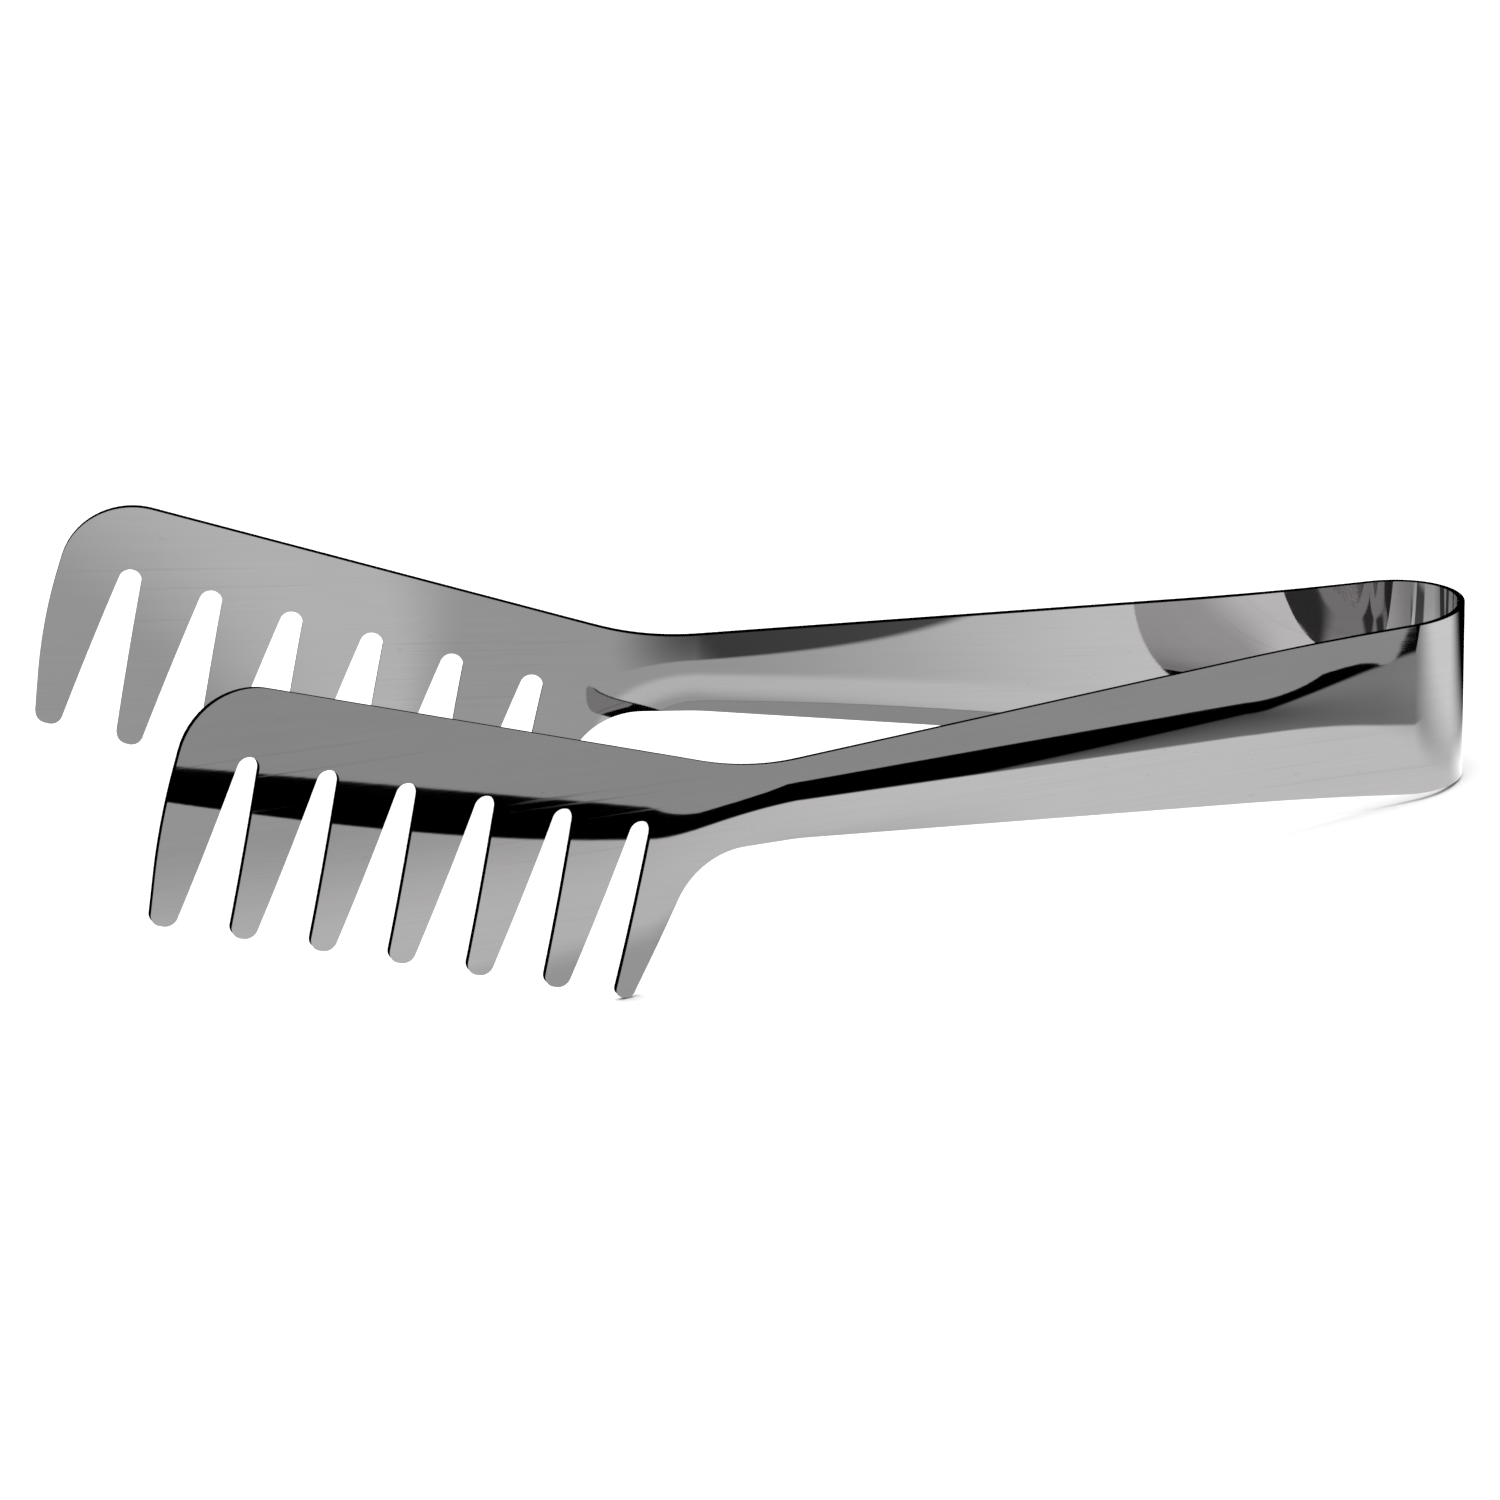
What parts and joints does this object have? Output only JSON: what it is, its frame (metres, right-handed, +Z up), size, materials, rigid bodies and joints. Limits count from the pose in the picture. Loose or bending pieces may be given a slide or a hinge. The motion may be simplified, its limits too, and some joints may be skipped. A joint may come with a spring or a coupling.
{
  "type": "serving tongs",
  "caption": "Spring tongs bent from one strip of polished sheet steel, with a U-shaped bow, tapering grip arms and comb-shaped heads whose tines point down.",
  "frame": {"origin": "middle of the bounding box at table level, with the tongs standing open on the bow's lower edge and the tips of the two last tines", "axes": "+X towards the bow, -X towards the comb heads, +Y towards the right arm, +Z up; the strip's own level is tipped 5.3 degrees against +X so that it stands"},
  "size_m": [0.1998, 0.0944, 0.0573],
  "materials": {
    "polished_steel": "bright polished stainless steel with faint lengthwise polishing lines"
  },
  "bodies": {
    "spring_bow": {"spring_bow": "polished_steel"},
    "left_arm": {"left_arm": "polished_steel", "left_comb": "polished_steel"},
    "right_arm": {"right_arm": "polished_steel", "right_comb": "polished_steel"}
  },
  "joints": [
    {"name": "left_squeeze", "type": "hinge", "parent": "spring_bow", "child": "left_arm", "pos_m": [0.08734, 0, 0.01399], "axis": [-0.0916, 0, -0.9958], "range_deg": [0, 13.5], "stiffness_Nm_per_rad": 8},
    {"name": "right_squeeze", "type": "hinge", "parent": "spring_bow", "child": "right_arm", "pos_m": [0.08734, 0, 0.01399], "axis": [0.0916, 0, 0.9958], "range_deg": [0, 13.5], "stiffness_Nm_per_rad": 8}
  ],
  "couplings": [
    {"joint": "right_squeeze", "follows": "left_squeeze", "ratio": 1}
  ]
}
